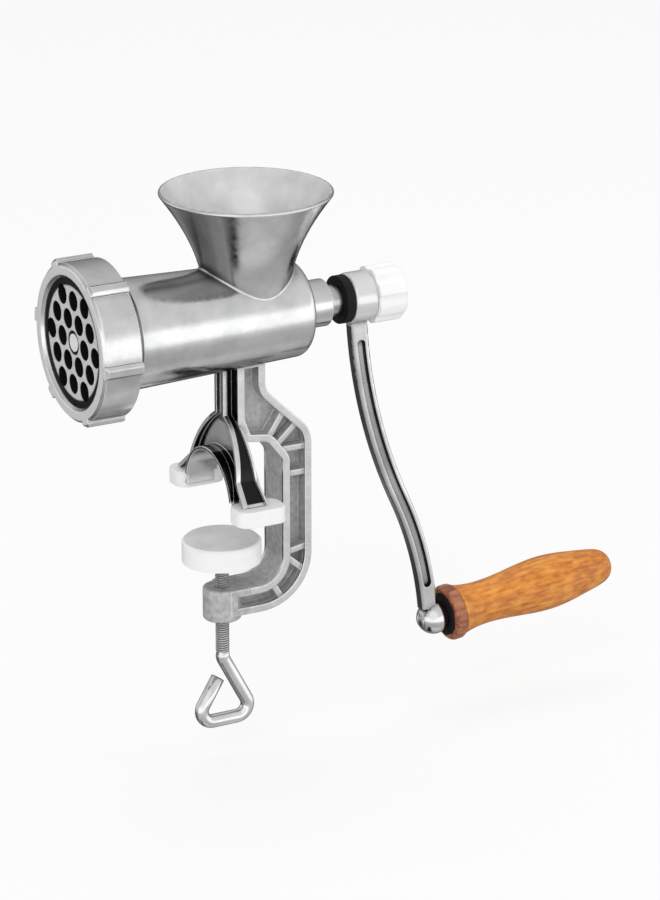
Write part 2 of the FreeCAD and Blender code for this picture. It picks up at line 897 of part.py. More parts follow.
def clamp_facing():
    top = pad_top
    return cylinder_z(top - facing_thickness, top, facing_radius)


def clamp_cap():
    top = pad_top - facing_proud
    cap = cylinder_z(pad_bottom, top, pad_radius)
    cap = cap.makeChamfer(pad_bevel, [e for e in cap.Edges if e.BoundBox.ZMin > top - edge_slack])
    cap = cap.cut(clamp_facing())
    cap = cap.cut(cylinder_z(disc_bottom, disc_top, disc_radius))
    cap = cap.cut(cylinder_z(pad_bottom - overcut, disc_bottom, disc_radius - disc_lip_reach))
    room = rivet_radius + rivet_room
    return cap.cut(cylinder_z(disc_top, rivet_top + rivet_room, room))


def clamp_disc():
    disc = cylinder_z(disc_bottom, disc_top, disc_radius)
    return disc.cut(cylinder_z(disc_bottom - overcut, disc_top + overcut, rivet_neck + running_fit))


def clamp_screw():
    shoulder = disc_bottom - face_gap
    path = [
        V(0, 0, shoulder),
        V(0, 0, handle_top),
        V(handle_right, 0, handle_bottom),
        V(handle_left, 0, handle_bottom),
        V(handle_tip_x, 0, handle_tip_z),
    ]
    edges = []
    last = path[0]
    for before, here, after in zip(path, path[1:], path[2:]):
        back = before - here
        ahead = after - here
        half = back.getAngle(ahead) / 2
        back.normalize()
        ahead.normalize()
        run = handle_bend / math.tan(half)
        inward = back + ahead
        inward.normalize()
        start = here + back * run
        end = here + ahead * run
        middle = here + inward * (handle_bend / math.sin(half) - handle_bend)
        edges.append(Part.makeLine(last, start))
        edges.append(Part.Arc(start, middle, end).toShape())
        last = end
    edges.append(Part.makeLine(last, path[-1]))
    ring = Part.Wire(Part.makeCircle(screw_radius, path[0], V(0, 0, 1)))
    rod = Part.Wire(edges).makePipeShell([ring], True, True)
    neck = cylinder_z(shoulder, rivet_top, rivet_neck)
    rivet = cylinder_z(disc_top + face_gap, rivet_top, rivet_radius)
    return rod.fuse([neck, rivet])


def export(shape, name):
    shape.exportStep("parts/" + name + ".step")


os.makedirs("parts", exist_ok=True)
legs_only = stem_and_legs()
export(body_casting(), "body_casting")
export(rear_bush(), "rear_bush")
export(plate_key(), "plate_key")
export(foot_pad(-1, legs_only), "foot_pad_front")
export(foot_pad(1, legs_only), "foot_pad_rear")
export(grinding_plate(), "grinding_plate")
export(ring_nut(), "ring_nut")
export(worm_core(), "worm_core")
for turn, flight_name in enumerate(worm_flights):
    export(worm_flight(turn), flight_name)
export(worm_shaft(), "worm_shaft")
export(knife(), "knife")
export(thrust_washer(), "thrust_washer")
export(hub_washer(), "hub_washer")
export(crank_arm(), "crank_arm")
export(thumb_knob(), "thumb_knob")
export(thumb_screw(), "thumb_screw")
export(wooden_grip(), "wooden_grip")
export(grip_collar(), "grip_collar")
export(grip_washer(), "grip_washer")
export(grip_screw(), "grip_screw")
export(clamp_disc(), "clamp_disc")
export(clamp_cap(), "clamp_cap")
export(clamp_facing(), "clamp_facing")
export(clamp_screw(), "clamp_screw")
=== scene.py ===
import json
import math

import bpy
import numpy as np
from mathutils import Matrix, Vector


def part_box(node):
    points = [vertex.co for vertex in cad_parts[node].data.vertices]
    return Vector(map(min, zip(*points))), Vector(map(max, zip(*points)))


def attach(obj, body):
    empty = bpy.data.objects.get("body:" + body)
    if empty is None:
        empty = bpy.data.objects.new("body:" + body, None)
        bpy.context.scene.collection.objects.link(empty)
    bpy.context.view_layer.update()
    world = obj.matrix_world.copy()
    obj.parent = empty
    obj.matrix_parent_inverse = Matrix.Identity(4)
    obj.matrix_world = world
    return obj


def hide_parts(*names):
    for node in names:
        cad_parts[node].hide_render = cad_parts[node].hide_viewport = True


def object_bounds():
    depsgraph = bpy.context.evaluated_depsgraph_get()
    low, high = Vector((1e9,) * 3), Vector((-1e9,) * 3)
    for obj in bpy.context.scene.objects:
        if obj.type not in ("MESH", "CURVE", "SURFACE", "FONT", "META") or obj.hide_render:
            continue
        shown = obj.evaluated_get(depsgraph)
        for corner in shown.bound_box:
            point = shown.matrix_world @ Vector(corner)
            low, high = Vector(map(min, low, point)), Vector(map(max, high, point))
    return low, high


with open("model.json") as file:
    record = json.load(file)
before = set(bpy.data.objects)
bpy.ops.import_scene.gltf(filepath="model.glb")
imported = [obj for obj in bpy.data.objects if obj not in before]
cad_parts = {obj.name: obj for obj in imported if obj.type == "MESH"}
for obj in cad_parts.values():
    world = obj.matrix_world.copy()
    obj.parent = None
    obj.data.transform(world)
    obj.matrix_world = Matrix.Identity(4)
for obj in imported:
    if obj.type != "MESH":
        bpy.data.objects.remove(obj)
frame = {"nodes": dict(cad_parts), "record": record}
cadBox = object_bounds()
cadNodes = frame["nodes"]
print("frame loaded:", len(cadNodes), "pieces")

mm = 0.001
barrelLine = 78 * mm                     # height of the barrel's own line over the table


# node helpers

def addNode(tree, kind, **values):
    node = tree.nodes.new(kind)
    for name, value in values.items():
        if name in node.inputs:
            node.inputs[name].default_value = value
        else:
            setattr(node, name, value)
    return node


def newMaterial(name, metallic=0.0):
    material = bpy.data.materials.new(name)
    material.use_nodes = True
    tree = material.node_tree
    shader = tree.nodes["Principled BSDF"]
    shader.inputs["Metallic"].default_value = metallic
    coords = tree.nodes.new("ShaderNodeTexCoord").outputs["Object"]
    return material, tree, shader, coords


def mapped(tree, coords, scale=(1, 1, 1), rotation=(0, 0, 0), location=(0, 0, 0)):
    node = tree.nodes.new("ShaderNodeMapping")
    node.inputs["Scale"].default_value = scale
    node.inputs["Rotation"].default_value = rotation
    node.inputs["Location"].default_value = location
    tree.links.new(coords, node.inputs["Vector"])
    return node.outputs["Vector"]


def noise(tree, coords, scale, detail=4.0, stretch=None):
    # fractal noise; stretch scales the coordinates per axis, so a small value draws it out
    if stretch:
        coords = mapped(tree, coords, stretch)
    node = addNode(tree, "ShaderNodeTexNoise", Scale=scale, Detail=detail)
    tree.links.new(coords, node.inputs["Vector"])
    return node.outputs["Fac"]


def remap(tree, value, low, high, fromLow=0.3, fromHigh=0.7):
    # straight line from low at fromLow to high at fromHigh, level outside
    node = tree.nodes.new("ShaderNodeMapRange")
    places = ("From Min", "From Max", "To Min", "To Max")
    for name, number in zip(places, (fromLow, fromHigh, low, high)):
        node.inputs[name].default_value = number
    tree.links.new(value, node.inputs["Value"])
    return node.outputs["Result"]


def ramp(tree, value, stops):
    # colours at places between 0 and 1, blended in between
    node = tree.nodes.new("ShaderNodeValToRGB")
    elements = node.color_ramp.elements
    while len(elements) < len(stops):
        elements.new(0.5)
    for element, (place, colour) in zip(elements, stops):
        element.position = place
        element.color = (*colour, 1)
    tree.links.new(value, node.inputs["Fac"])
    return node.outputs["Color"]


def twoTone(tree, value, dark, light, places=(0.3, 0.7)):
    return ramp(tree, value, list(zip(places, (dark, light))))


def math2(tree, operation, a, b=0.0):
    # a and b are sockets or numbers
    node = tree.nodes.new("ShaderNodeMath")
    node.operation = operation
    for socket, value in zip(node.inputs, (a, b)):
        if isinstance(value, (int, float)):
            socket.default_value = value
        else:
            tree.links.new(value, socket)
    return node.outputs["Value"]


def mixColour(tree, share, first, second):
    # first where share is 0, second where it is 1; either is a socket or a colour
    node = addNode(tree, "ShaderNodeMix", data_type="RGBA")
    tree.links.new(share, node.inputs[0])
    for socket, value in zip((node.inputs[6], node.inputs[7]), (first, second)):
        if isinstance(value, tuple):
            socket.default_value = (*value, 1)
        else:
            tree.links.new(value, socket)
    return node.outputs[2]


def softEdges(tree, shader, radius, height, strength, depth):
    # rounds the look of every edge over the given radius, then adds the bump
    bevel = addNode(tree, "ShaderNodeBevel", samples=6)
    bevel.inputs["Radius"].default_value = radius
    bump = tree.nodes.new("ShaderNodeBump")
    bump.inputs["Strength"].default_value = strength
    bump.inputs["Distance"].default_value = depth
    tree.links.new(height, bump.inputs["Height"])
    tree.links.new(bevel.outputs["Normal"], bump.inputs["Normal"])
    tree.links.new(bump.outputs["Normal"], shader.inputs["Normal"])
    return bevel.outputs["Normal"]


def edgeWearAndGlint(tree, bevelNormal, fullTurn=0.86):
    # 0 on open faces, rising to 1 where the rounded normal turns from the face by the cosine fullTurn;
    # it marks edges, convex and concave, for real wear and painted highlight
    geometry = tree.nodes.new("ShaderNodeNewGeometry")
    dot = addNode(tree, "ShaderNodeVectorMath", operation="DOT_PRODUCT")
    tree.links.new(bevelNormal, dot.inputs[0])
    tree.links.new(geometry.outputs["Normal"], dot.inputs[1])
    return remap(tree, dot.outputs["Value"], 1.0, 0.0, fullTurn, 1.0)


def along(tree, vector, axis):
    # one of a vector's three parts
    split = tree.nodes.new("ShaderNodeSeparateXYZ")
    tree.links.new(vector, split.inputs[0])
    return split.outputs[axis]


def allOf(tree, *shares):
    # the product of all shares
    product = shares[0]
    for share in shares[1:]:
        product = math2(tree, "MULTIPLY", product, share)
    return product


def recesses(tree, reach, shut, clear=0.97):
    # the mask for painted shade: 1 in channels and corners of the piece itself where the open share falls to
    # shut, 0 where it is clear
    cover = addNode(tree, "ShaderNodeAmbientOcclusion", samples=8, only_local=True)
    cover.inputs["Distance"].default_value = reach
    return remap(tree, cover.outputs["AO"], 1.0, 0.0, shut, clear)


# finishes

# the darkest colour below is painted shade for the recesses; the edge colour is partly real wear, partly
# painted highlight
castFinish = dict(dark=(0.70, 0.705, 0.71), light=(0.82, 0.82, 0.825), edge=(0.92, 0.92, 0.92),
                  paintedShade=(0.05, 0.05, 0.052), shadeReach=5 * mm, shut=0.25, blotch=90, tones=(0.36, 0.62),
                  grain=1500, pits=420, pitShare=1.6, rough=(0.12, 0.24), edgeRound=0.8 * mm, edgeMetal=0.35,
                  bump=0.10, bumpDepth=0.15 * mm, turnedFace=None, rawAreas=None)


def castAluminium(name, look):
    # tumbled aluminium: blotchy grey, fine grain in the bump, edges brightened partly as real wear and partly
    # as painted highlight, painted shade in recesses; turnedFace gives the x before which a lathe has left
    # the face bright and matt, rawAreas the settings of the areas that were never polished, and of the
    # painted shade on the floor of the groove along the stem and legs
    material, tree, shader, coords = newMaterial(name, 1.0)
    blotch = noise(tree, coords, look["blotch"], detail=6)
    grain = noise(tree, coords, look["grain"], detail=3)
    pits = noise(tree, coords, look["pits"], detail=5)
    height = math2(tree, "ADD", grain, math2(tree, "MULTIPLY", pits, look["pitShare"]))
    bevelNormal = softEdges(tree, shader, look["edgeRound"], height, look["bump"], look["bumpDepth"])
    body = twoTone(tree, blotch, look["dark"], look["light"], look["tones"])
    # painted shade: the recesses of the piece turn nearly black
    body = mixColour(tree, recesses(tree, look["shadeReach"], look["shut"]), body, look["paintedShade"])
    wearAndGlint = edgeWearAndGlint(tree, bevelNormal)
    if look["turnedFace"] is not None:
        turned = math2(tree, "LESS_THAN", along(tree, coords, "X"), look["turnedFace"])
        wearAndGlint = math2(tree, "MAXIMUM", wearAndGlint, turned)
    # brighter edges and seams: partly real wear, partly painted highlight
    body = mixColour(tree, wearAndGlint, body, look["edge"])
    metal = remap(tree, wearAndGlint, 1.0, look["edgeMetal"], 0.0, 1.0)
    rough = remap(tree, pits, *look["rough"])
    if look["rawAreas"]:
        raw = look["rawAreas"]
        pocket, channel, bowl = rawCasting(tree, coords, raw)
        pocket = math2(tree, "MULTIPLY", pocket, math2(tree, "SUBTRACT", 1.0, wearAndGlint))
        body = mixColour(tree, pocket, body, twoTone(tree, pits, raw["dark"], raw["light"], raw["tones"]))
        # painted shade: the groove's floor turns nearly black
        body = mixColour(tree, channel, body, raw["channel"])
        inside = twoTone(tree, blotch, raw["bowlDark"], raw["bowlLight"], look["tones"])
        body = mixColour(tree, bowl, body, inside)
        metal = math2(tree, "SUBTRACT", metal, math2(tree, "MULTIPLY", pocket, raw["lessMetal"]))
        metal = math2(tree, "SUBTRACT", metal, math2(tree, "MULTIPLY", bowl, raw["bowlLess"]))
        dull = math2(tree, "MAXIMUM", pocket, bowl)
        rough = math2(tree, "ADD", rough, math2(tree, "MULTIPLY", dull, raw["moreRough"]))
    tree.links.new(body, shader.inputs["Base Color"])
    tree.links.new(metal, shader.inputs["Metallic"])
    tree.links.new(rough, shader.inputs["Roughness"])
    return material


rawAreas = dict(top=57 * mm, frontX=3.75 * mm, rimY=7.2 * mm, bossTop=-36.5 * mm, bossX=9 * mm,
                dark=(0.40, 0.40, 0.405), light=(0.58, 0.58, 0.585), tones=(0.35, 0.65), lessMetal=0.65,
                moreRough=0.3,
                bowlDark=(0.66, 0.66, 0.665), bowlLight=(0.78, 0.78, 0.785), bowlLess=0.5, bowlX=12.4 * mm,
                bowlRadius=36.2 * mm, bowlFoot=(101.5 * mm, 114 * mm),
                # the near-black colour on the next line is painted shade for the groove's floor
                channel=(0.025, 0.025, 0.026), knee=34 * mm, spread=0.063, depth=0.6 * mm, outward=0.8 * mm,
                outlineZ=(7.6, 40.0),
                outlineY=((7.6, 29.5), (15, 21.0), (18, 20.22), (21, 19.13), (25, 17.16),
                          (28.3, 15.0), (31.5, 12.32), (35, 8.46), (38, 3.9)))


def rawCasting(tree, coords, look):
    # three shares. Pocket: the webs, rib sides and inner faces of the clamp frame, inside its rims, and the
    # screw boss. Groove shade: the floor of the groove along the stem and legs, which lies deeper than depth
    # under their outline, y as a function of z, and faces outwards; it gets painted shade. Bowl: the inside
    # of the hopper, which faces its upright middle line
    x, y, z = (along(tree, coords, axis) for axis in "XYZ")
    across = math2(tree, "ABSOLUTE", y)
    below = math2(tree, "LESS_THAN", z, look["top"])
    pocket = allOf(tree, below, math2(tree, "GREATER_THAN", x, look["frontX"]),
                   math2(tree, "LESS_THAN", across, look["rimY"]))
    boss = allOf(tree, math2(tree, "LESS_THAN", z, look["bossTop"]),
                 math2(tree, "LESS_THAN", x, look["bossX"]))
    low, high = look["outlineZ"]
    widest = look["outlineY"][0][1]
    stops = [((height - low) / (high - low), (half / widest,) * 3) for height, half in look["outlineY"]]
    share = ramp(tree, remap(tree, z, 0.0, 1.0, low * mm, high * mm), stops)
    depth = math2(tree, "SUBTRACT", math2(tree, "MULTIPLY", share, widest * mm), across)
    facing = tree.nodes.new("ShaderNodeNewGeometry").outputs["Normal"]
    normalX, normalY = along(tree, facing, "X"), along(tree, facing, "Y")
    under = math2(tree, "MAXIMUM", math2(tree, "SUBTRACT", look["knee"], z), 0.0)
    back = math2(tree, "ADD", math2(tree, "MULTIPLY", under, look["spread"]), look["frontX"])
    outward = math2(tree, "MULTIPLY", normalY, y)
    channel = allOf(tree, below, math2(tree, "LESS_THAN", x, back),
                    math2(tree, "GREATER_THAN", depth, look["depth"]),
                    math2(tree, "GREATER_THAN", outward, look["outward"]),
                    math2(tree, "GREATER_THAN", z, low * mm))
    fromAxis = math2(tree, "SUBTRACT", x, look["bowlX"])
    out = math2(tree, "ADD", math2(tree, "MULTIPLY", normalX, fromAxis), outward)
    bowl = allOf(tree, math2(tree, "LESS_THAN", out, 0.0), remap(tree, z, 0.0, 1.0, *look["bowlFoot"]),
                 math2(tree, "LESS_THAN", math2(tree, "ABSOLUTE", fromAxis), look["bowlRadius"]))
    return math2(tree, "MAXIMUM", pocket, boss), channel, bowl


steelFinish = dict(dark=(0.46, 0.46, 0.47), light=(0.76, 0.76, 0.77), grain=900,
                   stretch=(1.0, 0.08, 0.08), rough=(0.18, 0.34), edgeRound=0.25 * mm, bump=0.12,
                   bumpDepth=0.08 * mm, turnedEnd=None, endColour=(0.95, 0.95, 0.95), endMetal=0.2)


def groundSteel(name, look):
    # steel with fine grinding lines drawn out across the barrel's line; turnedEnd gives the x before
    # which the end of a shaft is faced off bright
    material, tree, shader, coords = newMaterial(name, 1.0)
    lines = noise(tree, coords, look["grain"], stretch=look["stretch"])
    softEdges(tree, shader, look["edgeRound"], lines, look["bump"], look["bumpDepth"])
    body = twoTone(tree, lines, look["dark"], look["light"])
    if look["turnedEnd"] is not None:
        turned = math2(tree, "LESS_THAN", along(tree, coords, "X"), look["turnedEnd"])
        body = mixColour(tree, turned, body, look["endColour"])
        tree.links.new(remap(tree, turned, 1.0, look["endMetal"], 0.0, 1.0), shader.inputs["Metallic"])
    tree.links.new(body, shader.inputs["Base Color"])
    tree.links.new(remap(tree, lines, *look["rough"]), shader.inputs["Roughness"])
    return material


# the near-black colour below is painted shade for the bores and the margin outside the holes
plateFinish = dict(web=(0.80, 0.80, 0.80), dull=(0.64, 0.64, 0.645), tones=(0.35, 0.6),
                   bore=(0.012, 0.012, 0.013), metal=0.3, gloss=0.2, field=(22.6 * mm, 23.4 * mm),
                   skin=0.35 * mm, grain=1100, rough=(0.30, 0.46), edgeRound=0.3 * mm, bump=0.15,
                   bumpDepth=0.08 * mm)


def plateSteel(name, look):
    # ground plate: bright webs on its face, with painted shade inside the bores and on a margin outside the
    # field of holes
    material, tree, shader, coords = newMaterial(name, look["metal"])
    shader.inputs["Specular IOR Level"].default_value = look["gloss"]
    centred = mapped(tree, coords, (0, 1, 1), location=(0, 0, -barrelLine))
    radius = addNode(tree, "ShaderNodeVectorMath", operation="LENGTH")
    tree.links.new(centred, radius.inputs[0])
    grain = noise(tree, coords, look["grain"])
    softEdges(tree, shader, look["edgeRound"], grain, look["bump"], look["bumpDepth"])
    web = twoTone(tree, grain, look["dull"], look["web"], look["tones"])
    outside = remap(tree, radius.outputs["Value"], 0.0, 1.0, *look["field"])
    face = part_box("grinding_plate")[0].x
    inside = remap(tree, along(tree, coords, "X"), 0.0, 1.0, face, face + look["skin"])
    # painted shade: near black inside the bores and outside the field of holes
    dark = math2(tree, "MAXIMUM", outside, inside)
    tree.links.new(mixColour(tree, dark, web, look["bore"]), shader.inputs["Base Color"])
    tree.links.new(remap(tree, grain, *look["rough"]), shader.inputs["Roughness"])
    return material


# the darkest colour below is painted shade for the corners
chromeFinish = dict(dark=(0.62, 0.62, 0.63), light=(0.84, 0.84, 0.85), paintedShade=(0.02, 0.02, 0.021),
                    shadeReach=3 * mm, shut=0.55, blotch=70, ripple=240, rough=(0.05, 0.14),
                    edgeRound=0.6 * mm, bump=0.12, bumpDepth=0.2 * mm, metal=1.0, hubFoot=66 * mm,
                    hub=(0.80, 0.80, 0.805), hubMetal=0.5)

# here the recess colour is a lighter painted shade, in narrow hollows such as the thread's roots
zincFinish = dict(chromeFinish, dark=(0.70, 0.70, 0.71), light=(0.90, 0.90, 0.91), paintedShade=(0.45, 0.45, 0.455),
                  shadeReach=1 * mm, metal=0.88, rough=(0.08, 0.18), edgeRound=0.15 * mm, hubFoot=None)


def chromePlate(name, look):
    # plating over a forged arm: mirror finish with a slow ripple, a little haze, painted shade in the corners
    # and, where hubFoot gives its height, a brighter, duller hub above it
    material, tree, shader, coords = newMaterial(name, look["metal"])
    haze = noise(tree, coords, look["blotch"], detail=5)
    ripple = noise(tree, coords, look["ripple"], detail=2)
    softEdges(tree, shader, look["edgeRound"], ripple, look["bump"], look["bumpDepth"])
    body = twoTone(tree, haze, look["dark"], look["light"])
    if look["hubFoot"] is not None:
        hub = math2(tree, "GREATER_THAN", along(tree, coords, "Z"), look["hubFoot"])
        body = mixColour(tree, hub, body, look["hub"])
        metal = remap(tree, hub, look["metal"], look["hubMetal"], 0.0, 1.0)
        tree.links.new(metal, shader.inputs["Metallic"])
    # painted shade: darker in the corners of the piece
    body = mixColour(tree, recesses(tree, look["shadeReach"], look["shut"]), body, look["paintedShade"])
    tree.links.new(body, shader.inputs["Base Color"])
    tree.links.new(remap(tree, haze, *look["rough"]), shader.inputs["Roughness"])
    return material


mouldFinish = dict(mottle=120, skin=1400, edgeRound=0.5 * mm, bump=0.12, bumpDepth=0.1 * mm)


def mouldedPlastic(name, dark, light, rough, gloss=0.5, look=mouldFinish):
    # moulded plastic or rubber: a faint mottle and the fine grain of the mould
    material, tree, shader, coords = newMaterial(name)
    shader.inputs["Specular IOR Level"].default_value = gloss
    mottle = noise(tree, coords, look["mottle"], detail=5)
    skin = noise(tree, coords, look["skin"], detail=3)
    softEdges(tree, shader, look["edgeRound"], skin, look["bump"], look["bumpDepth"])
    tree.links.new(twoTone(tree, mottle, dark, light), shader.inputs["Base Color"])
    tree.links.new(remap(tree, skin, *rough), shader.inputs["Roughness"])
    return material


gripFinish = dict(late=(0.46, 0.140, 0.017), early=(0.65, 0.225, 0.026), pale=(0.78, 0.330, 0.060),
                  tones=(0.40, 0.50, 0.60), lean=math.radians(5.5),
                  bands=dict(scale=70, detail=3, draw=0.22, share=0.2),
                  fibres=dict(scale=700, detail=6, draw=0.07, share=0.35),
                  flecks=dict(scale=420, detail=4, draw=0.45, share=0.45),
                  rough=(0.30, 0.48), coat=0.15, coatRough=0.25, edgeRound=0.4 * mm, bump=0.25,
                  bumpDepth=0.1 * mm)


def turnedWood(name, look):
    # varnished wood: soft growth bands, fine fibres and short flecks, all drawn out along the grip's own
    # line and added up by their shares
    material, tree, shader, coords = newMaterial(name)
    lengthwise = mapped(tree, coords, rotation=(0, look["lean"], 0))

    def layer(cut):
        return noise(tree, lengthwise, cut["scale"], cut["detail"], (cut["draw"], 1.0, 1.0))

    layers = {part: layer(look[part]) for part in ("bands", "fibres", "flecks")}
    bands, fibres, flecks = [math2(tree, "MULTIPLY", value, look[part]["share"])
                             for part, value in layers.items()]
    figure = math2(tree, "ADD", bands, math2(tree, "ADD", fibres, flecks))
    colours = (look["late"], look["early"], look["pale"])
    tree.links.new(ramp(tree, figure, list(zip(look["tones"], colours))), shader.inputs["Base Color"])
    tree.links.new(remap(tree, layers["fibres"], *look["rough"]), shader.inputs["Roughness"])
    shader.inputs["Coat Weight"].default_value = look["coat"]
    shader.inputs["Coat Roughness"].default_value = look["coatRough"]
    softEdges(tree, shader, look["edgeRound"], layers["fibres"], look["bump"], look["bumpDepth"])
    return material


collarFinish = dict(gripFinish, late=(0.15, 0.040, 0.020), early=(0.36, 0.12, 0.055),
                    pale=(0.46, 0.19, 0.09))

finishes = {
    "cast_aluminium": castAluminium("castAluminium", castFinish),
    "steel": groundSteel("groundSteel", steelFinish),
    "chrome": chromePlate("chromePlate", chromeFinish),
    "zinc_rod": chromePlate("zincPlate", zincFinish),
    "black_rubber": mouldedPlastic("blackRubber", (0.006, 0.006, 0.0065), (0.014, 0.014, 0.0145), (0.5, 0.65),
                                   gloss=0.2),
    "white_plastic": mouldedPlastic("whitePlastic", (0.90, 0.90, 0.895), (0.95, 0.95, 0.945), (0.30, 0.42)),
    "grey_rubber": mouldedPlastic("greyRubber", (0.64, 0.645, 0.645), (0.74, 0.745, 0.745), (0.55, 0.7)),
    "nylon": mouldedPlastic("paleNylon", (0.70, 0.69, 0.65), (0.80, 0.79, 0.75), (0.4, 0.5)),
    "fibre": mouldedPlastic("redFibre", (0.28, 0.07, 0.045), (0.40, 0.12, 0.08), (0.6, 0.75)),
    "wood": turnedWood("turnedWood", gripFinish),
    "stained_wood": turnedWood("stainedWood", collarFinish),
}
ringFinish = dict(castFinish, turnedFace=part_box("ring_nut")[0].x + 0.1 * mm)
shaftFinish = dict(steelFinish, turnedEnd=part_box("worm_shaft")[0].x + 0.4 * mm)
ownFinishes = {
    "body_casting": castAluminium("castBody", dict(castFinish, rawAreas=rawAreas)),
    "grinding_plate": plateSteel("plateSteel", plateFinish),
    "ring_nut": castAluminium("turnedRing", ringFinish),
    "worm_shaft": groundSteel("turnedShaft", shaftFinish),
}


def dress():
    # every solid gets its own finish, or that of its slot in the record
    slots = {row["node"]: row["material_slot"] for row in frame["record"]["subparts"]}
    for name, obj in cadNodes.items():
        obj.data.materials.clear()
        obj.data.materials.append(ownFinishes.get(name, finishes[slots[name]]))


dress()
cadNodes["wooden_grip"].visible_glossy = False       # the metal mirrors the studio, not the wood
print("finishes:", len(finishes) + len(ownFinishes))


# pieces of the scene

def addPiece(name, points, faces, slot, body, node):
    # a smooth mesh that rides a body in place of one of its solids
    mesh = bpy.data.meshes.new(name)
    mesh.from_pydata(points.tolist(), [], faces)
    mesh.polygons.foreach_set("use_smooth", np.ones(len(faces), bool))
    mesh.materials.append(finishes[slot])
    piece = bpy.data.objects.new(name, mesh)
    bpy.context.scene.collection.objects.link(piece)
    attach(piece, body)
    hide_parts(node)


def ringFaces(rows, columns):
    # quads between rows of points, closed around, with a flat face on either end
    index = np.arange(rows * columns).reshape(rows, columns)
    after = np.roll(index, -1, axis=1)
    quads = np.stack([index[:-1], index[1:], after[1:], after[:-1]], axis=-1).reshape(-1, 4)
    return quads.tolist() + [index[0].tolist(), index[-1, ::-1].tolist()]


rod = dict(crest=2.9, root=2.35, pitch=1.0, neck=2.2, rivet=3.8, rivetHeight=1.2, discHeight=3.1,
           threadEnd=-66.0, toothFlat=0.25, bend=5.0, slack=1e-6,
           corners=((0, -69.0), (14.6, -96.5), (-13.8, -96.5), (-2.4, -77.6)),
           sides=40, threadRows=16, bendRows=14)          # lengths in mm


def rodLine(look, top):
    # the rod's middle line in x and z: straight down, then a bent triangle; each corner is
    # an arc of the bend's radius that touches both of its runs
    corners = np.array(((0, top),) + look["corners"])
    straight = np.arange(top, look["threadEnd"], -look["pitch"] / look["threadRows"])
    line = [np.column_stack([np.zeros_like(straight), straight])]
    for before, here, after in zip(corners, corners[1:], corners[2:]):
        back = (before - here) / np.linalg.norm(before - here)
        ahead = (after - here) / np.linalg.norm(after - here)
        half = math.acos(back @ ahead) / 2
        middle = here + (back + ahead) / np.linalg.norm(back + ahead) * look["bend"] / math.sin(half)
        out = here + back * look["bend"] / math.tan(half) - middle
        side = np.array([-out[1], out[0]])
        side *= np.sign(side @ -back)
        turn = np.linspace(0, math.pi - 2 * half, look["bendRows"])[:, None]
        line.append(middle + out * np.cos(turn) + side * np.sin(turn))
    return np.vstack(line + [corners[-1:]])


def makeRod(look):
    # a ring of points carried along the middle line; on the straight run its radius follows
    # a helix: root plus the tooth height times a flat-topped triangle wave of z / pitch - angle / turn
    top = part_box("clamp_screw")[1].z / mm
    shoulder = top - look["rivetHeight"] - look["discHeight"]
    line = rodLine(look, shoulder)
    ahead = np.gradient(line, axis=0)
    ahead /= np.linalg.norm(ahead, axis=1)[:, None]
    angle = np.linspace(0, 2 * math.pi, look["sides"], endpoint=False)
    wave = np.abs(2 * ((line[:, 1:] / look["pitch"] - angle / (2 * math.pi)) % 1) - 1)
    tooth = np.clip((1 + 2 * look["toothFlat"]) * wave - look["toothFlat"], 0, 1)
    threaded = (np.abs(line[:, :1]) < look["slack"]) & (line[:, 1:] > look["threadEnd"])
    radius = np.where(threaded, look["root"] + (look["crest"] - look["root"]) * tooth, look["crest"])
    head = [(top, look["rivet"]), (top - look["rivetHeight"], look["rivet"]),
            (top - look["rivetHeight"], look["neck"]), (shoulder, look["neck"])]
    headLine = np.array([(0, z) for z, size in head])
    headRadius = np.array([[size] * len(angle) for z, size in head])
    line = np.vstack([headLine, line])
    ahead = np.vstack([np.tile((0, -1), (len(head), 1)), ahead])
    radius = np.vstack([headRadius, radius])
    x = line[:, :1] - ahead[:, 1:] * radius * np.cos(angle)
    y = radius * np.sin(angle)
    z = line[:, 1:] + ahead[:, :1] * radius * np.cos(angle)
    points = np.stack([x, y, z], axis=-1).reshape(-1, 3) * mm
    faces = ringFaces(len(line), len(angle))
    addPiece("threadedRod", points, faces, "zinc_rod", "clamp_rod", "clamp_screw")
    print("threaded rod:", len(points), "points")


screwHead = dict(radius=3.4, rimShare=0.999, height=1.2, slotWidth=1.0, slotFloor=0.35, seat=6.35, shank=2.6,
                 reach=56.0, rows=9, columns=25, shankSides=32)          # lengths in mm


